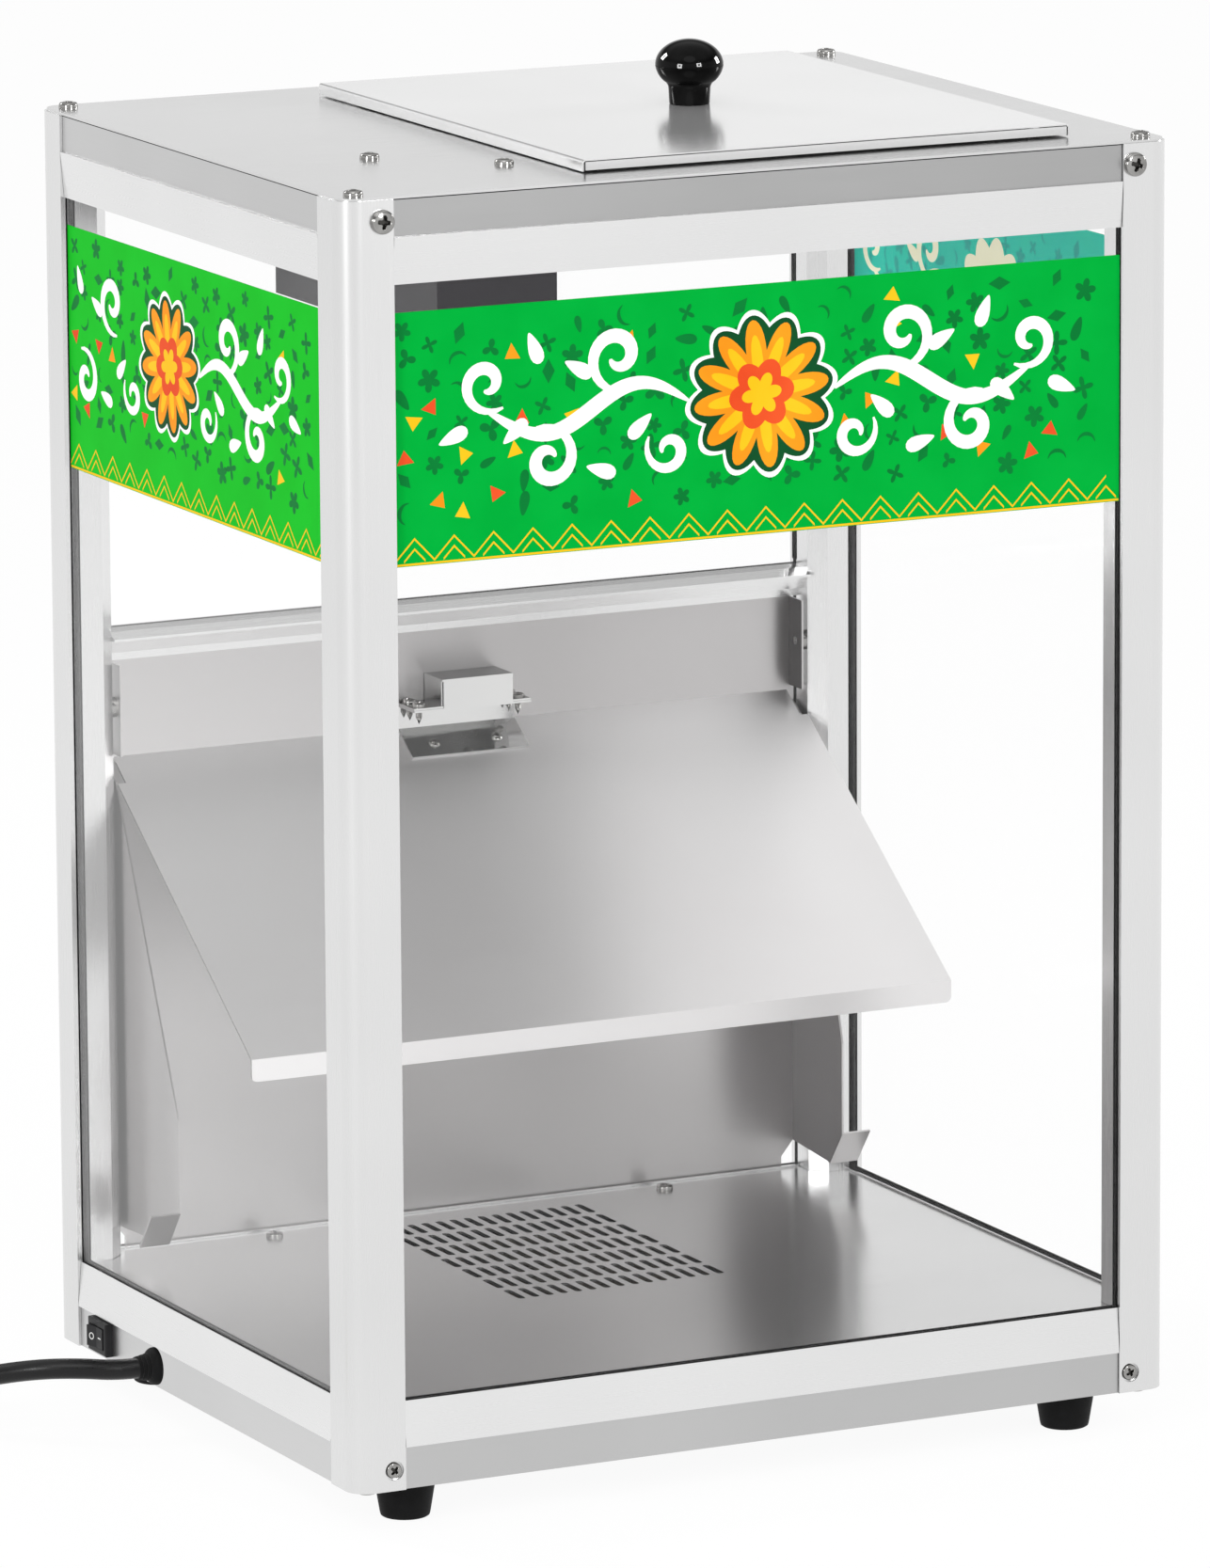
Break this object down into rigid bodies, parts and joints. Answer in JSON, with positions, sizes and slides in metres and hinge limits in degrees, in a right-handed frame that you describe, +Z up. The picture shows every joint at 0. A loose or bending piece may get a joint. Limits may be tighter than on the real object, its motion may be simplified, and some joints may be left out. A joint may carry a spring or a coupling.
{
  "type": "chip warmer",
  "caption": "Counter-top heated display case for tortilla chips: glazed aluminium frame, top filling hatch with lid, sloped hopper chute, tilt-out service door, fan-heated base.",
  "frame": {"origin": "middle of the footprint box of the case with its knobs and switch, on the surface that the feet stand on; the cord is left out of the measure", "axes": "+Z up, +X to the right along the wide glass front, +Y from the glass front towards the rear with the service door"},
  "size_m": [0.6822, 0.3997, 0.6646],
  "materials": {
    "anodised_aluminium": "satin",
    "clear_glass": "polished",
    "printed_film": "printed",
    "lacquered_steel": "satin",
    "polished_steel": "bright rolled",
    "zinc_screw": "bright zinc",
    "dark_steel": "matt",
    "black_gloss": "gloss",
    "black_matt": "moulded",
    "black_rubber": "moulded",
    "magnet_block": "matt",
    "heater_sheath": "heat-tinted",
    "bulb_glass": "frosted",
    "ceramic_socket": "glazed",
    "brass_pins": "plated"
  },
  "bodies": {
    "frame": {"banner_front": "printed_film", "banner_left": "printed_film", "banner_right": "printed_film", "base_pan": "lacquered_steel", "bottom_rail_front": "anodised_aluminium", "bottom_rail_left": "anodised_aluminium", "bottom_rail_rear": "anodised_aluminium", "bottom_rail_right": "anodised_aluminium", "catch_bracket": "polished_steel", "catch_fixings": "zinc_screw", "catch_housing": "polished_steel", "catch_magnet": "magnet_block", "chute": "lacquered_steel", "chute_fixings": "zinc_screw", "cord_bush": "black_rubber", "cord_coil": "black_rubber", "cord_tie": "black_matt", "corner_brackets": "zinc_screw", "fan_frame": "black_matt", "feet": "black_rubber", "floor_plate": "lacquered_steel", "floor_screws": "zinc_screw", "foot_screws": "zinc_screw", "glass_front": "clear_glass", "glass_left": "clear_glass", "glass_rear": "clear_glass", "glass_right": "clear_glass", "heating_element": "heater_sheath", "hinge_pin": "polished_steel", "hinge_rail_leaf": "polished_steel", "lamp_bulb": "bulb_glass", "lamp_housing": "dark_steel", "lamp_socket": "ceramic_socket", "plug_body": "black_rubber", "plug_pins": "brass_pins", "post_front_left": "anodised_aluminium", "post_front_right": "anodised_aluminium", "post_rear_left": "anodised_aluminium", "post_rear_right": "anodised_aluminium", "post_screws_lower": "zinc_screw", "post_screws_upper": "zinc_screw", "power_cord": "black_rubber", "rear_mid_rail": "anodised_aluminium", "switch_housing": "black_matt", "top_panel": "lacquered_steel", "top_panel_screws": "zinc_screw", "top_rail_front": "anodised_aluminium", "top_rail_left": "anodised_aluminium", "top_rail_rear": "anodised_aluminium", "top_rail_right": "anodised_aluminium"},
    "lid": {"lid_skin": "lacquered_steel", "lid_tray": "lacquered_steel", "lid_knob": "black_gloss", "lid_knob_screw": "zinc_screw"},
    "service_door": {"service_door": "lacquered_steel", "door_knob": "black_gloss", "door_knob_screw": "zinc_screw", "hinge_door_leaf": "polished_steel"},
    "fan_rotor": {"fan_rotor": "black_matt"},
    "switch_rocker": {"switch_rocker": "black_matt"}
  },
  "joints": [
    {"name": "lid_lift", "type": "slide", "parent": "frame", "child": "lid", "axis": [0, 0, 1], "range_m": [0, 0.06]},
    {"name": "door_tilt", "type": "hinge", "parent": "frame", "child": "service_door", "pos_m": [0.00247, 0.15905, 0.0661], "axis": [-1, 0, 0], "range_deg": [0, 48]},
    {"name": "fan_spin", "type": "hinge", "parent": "frame", "child": "fan_rotor", "pos_m": [0.00247, 0.05085, 0.0358], "axis": [0, 0, 1], "continuous": true},
    {"name": "switch_rock", "type": "hinge", "parent": "frame", "child": "switch_rocker", "pos_m": [-0.21153, 0.10685, 0.0318], "axis": [0, 0, -1], "range_deg": [0, 16]}
  ]
}
